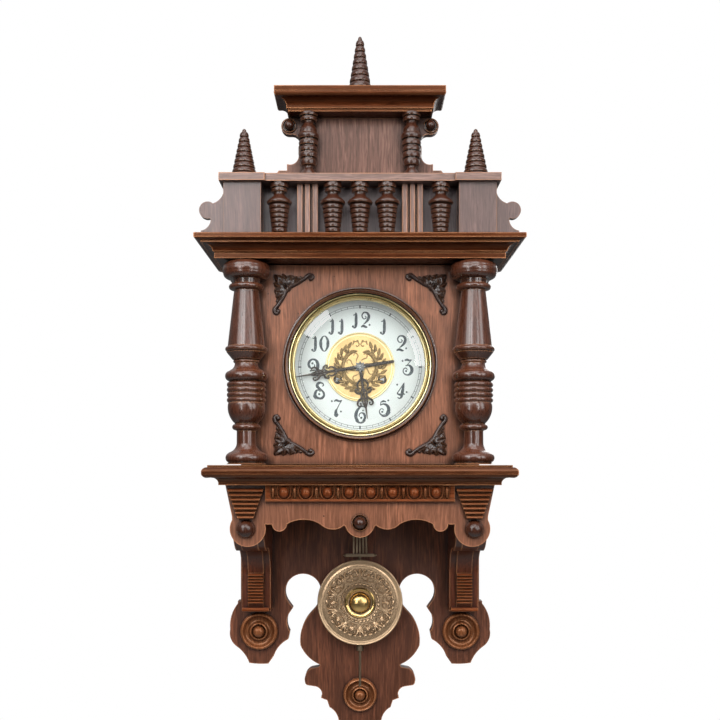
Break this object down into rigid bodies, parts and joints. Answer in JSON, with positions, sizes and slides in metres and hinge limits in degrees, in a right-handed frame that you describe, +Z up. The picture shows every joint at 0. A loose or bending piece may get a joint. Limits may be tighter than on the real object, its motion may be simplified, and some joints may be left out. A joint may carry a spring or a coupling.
{
  "type": "wall clock",
  "caption": "Carved dark-wood wall clock with columned glazed door, enamel dial, open swinging pendulum with embossed brass bob, and a spring-driven striking movement.",
  "frame": {"origin": "centre of the round entry of the keyhole hanger, on the wall plane", "axes": "+Z up, +Y back into the wall, +X to the right as seen from the front"},
  "size_m": [0.3774, 0.188, 0.862],
  "materials": {
    "walnut_panel": "dark red-brown polish",
    "walnut_moulding": "dark polish, worn edges",
    "walnut_turned": "dark polish, turned",
    "rosette_wood": "lighter worn polish",
    "brass": "aged, satin",
    "gilt": "gilt, embossed",
    "bob_brass": "antique, embossed",
    "bezel_brass": "polished, aged",
    "enamel": "white enamel",
    "hand_steel": "darkened, pierced",
    "steel": "polished",
    "iron": "black",
    "glass": "clear, bevelled edge"
  },
  "bodies": {
    "case": {"back_board": "walnut_panel", "hanger_plate": "steel", "case_side_right": "walnut_panel", "case_side_left": "walnut_panel", "shelf": "walnut_moulding", "cornice": "walnut_moulding", "apron_board": "walnut_panel", "egg_moulding": "walnut_moulding", "reeded_blocks": "walnut_moulding", "rosettes": "rosette_wood", "bracket_right": "walnut_moulding", "bracket_left": "walnut_moulding", "gallery_panel": "walnut_panel", "gallery_ends": "walnut_panel", "gallery_rail": "walnut_moulding", "gallery_pilasters": "walnut_moulding", "balusters": "walnut_turned", "spires": "walnut_turned", "attic_panel": "walnut_panel", "attic_columns": "walnut_turned", "turned_bosses": "walnut_turned", "attic_cornice": "walnut_moulding", "hinge_case_leaves": "brass", "back_plate": "brass", "front_plate": "brass", "plate_pillars": "steel", "movement_brackets": "iron", "suspension_cock": "brass", "dial_plate": "enamel", "dial_centre": "gilt", "gong_block": "iron", "gong_coil": "steel"},
    "door": {"door_panel": "walnut_panel", "door_ring": "walnut_moulding", "bezel": "bezel_brass", "door_glass": "glass", "column_right": "walnut_turned", "column_left": "walnut_turned", "corner_carvings": "walnut_moulding", "hinge_door_leaves": "brass"},
    "pendulum": {"suspension_spring": "steel", "pendulum_crossbars": "brass", "pendulum_rods": "brass", "pendulum_bob": "bob_brass"},
    "nut": {"rating_nut": "brass"},
    "escapement": {"anchor": "steel"},
    "centre": {"centre_arbor": "steel"},
    "minute": {"cannon_pinion": "steel", "minute_hand": "hand_steel"},
    "motion": {"minute_wheel": "brass"},
    "hour": {"hour_wheel": "brass", "hour_hand": "hand_steel"},
    "going": {"going_barrel": "brass"},
    "going_arbor": {"going_winding_arbor": "steel"},
    "strike": {"strike_barrel": "brass"},
    "strike_arbor": {"strike_winding_arbor": "steel"},
    "third": {"third_wheel": "brass"},
    "escape": {"escape_wheel": "brass"},
    "lifting": {"pin_wheel": "brass"},
    "striker": {"hammer": "steel"}
  },
  "joints": [
    {"name": "door_swing", "type": "hinge", "parent": "case", "child": "door", "pos_m": [0.1432, -0.112, 0], "axis": [0, 0, 1], "range_deg": [0, 110]},
    {"name": "pendulum_swing", "type": "hinge", "parent": "case", "child": "pendulum", "pos_m": [0, -0.034, -0.067], "axis": [0, 1, 0], "range_deg": [-4, 4]},
    {"name": "anchor_rock", "type": "hinge", "parent": "case", "child": "escapement", "pos_m": [0, -0.07, -0.067], "axis": [0, 1, 0], "range_deg": [-4, 4]},
    {"name": "nut_turn", "type": "hinge", "parent": "pendulum", "child": "nut", "pos_m": [0, -0.034, -0.476], "axis": [0, 0, 1], "continuous": true},
    {"name": "minute_turn", "type": "hinge", "parent": "case", "child": "minute", "pos_m": [0, -0.07, -0.121], "axis": [0, 1, 0], "continuous": true},
    {"name": "motion_turn", "type": "hinge", "parent": "case", "child": "motion", "pos_m": [0, -0.07, -0.133], "axis": [0, 1, 0], "continuous": true},
    {"name": "hour_turn", "type": "hinge", "parent": "case", "child": "hour", "pos_m": [0, -0.07, -0.121], "axis": [0, 1, 0], "continuous": true},
    {"name": "centre_turn", "type": "hinge", "parent": "case", "child": "centre", "pos_m": [0, -0.07, -0.121], "axis": [0, 1, 0], "continuous": true},
    {"name": "going_turn", "type": "hinge", "parent": "case", "child": "going", "pos_m": [0.027, -0.07, -0.1363], "axis": [0, 1, 0], "continuous": true},
    {"name": "third_turn", "type": "hinge", "parent": "case", "child": "third", "pos_m": [0.012, -0.07, -0.10256], "axis": [0, 1, 0], "continuous": true},
    {"name": "escape_turn", "type": "hinge", "parent": "case", "child": "escape", "pos_m": [0, -0.07, -0.08823], "axis": [0, 1, 0], "continuous": true},
    {"name": "strike_turn", "type": "hinge", "parent": "case", "child": "strike", "pos_m": [-0.027, -0.07, -0.1363], "axis": [0, 1, 0], "continuous": true},
    {"name": "lifting_turn", "type": "hinge", "parent": "case", "child": "lifting", "pos_m": [-0.0342, -0.07, -0.1095], "axis": [0, 1, 0], "continuous": true},
    {"name": "hammer_lift", "type": "hinge", "parent": "case", "child": "striker", "pos_m": [-0.046, -0.07, -0.081], "axis": [0, 1, 0], "range_deg": [0, 18]},
    {"name": "going_wind", "type": "hinge", "parent": "case", "child": "going_arbor", "pos_m": [0.027, -0.07, -0.1363], "axis": [0, 1, 0], "range_deg": [0, 1800]},
    {"name": "strike_wind", "type": "hinge", "parent": "case", "child": "strike_arbor", "pos_m": [-0.027, -0.07, -0.1363], "axis": [0, 1, 0], "range_deg": [0, 1800]}
  ],
  "couplings": [
    {"joint": "anchor_rock", "follows": "pendulum_swing", "ratio": 1},
    {"joint": "motion_turn", "follows": "minute_turn", "ratio": -0.33333},
    {"joint": "hour_turn", "follows": "minute_turn", "ratio": 0.083333},
    {"joint": "third_turn", "follows": "escape_turn", "ratio": -0.098765},
    {"joint": "centre_turn", "follows": "escape_turn", "ratio": 0.0098765},
    {"joint": "going_turn", "follows": "escape_turn", "ratio": -0.0013717},
    {"joint": "strike_turn", "follows": "lifting_turn", "ratio": -0.15625}
  ]
}
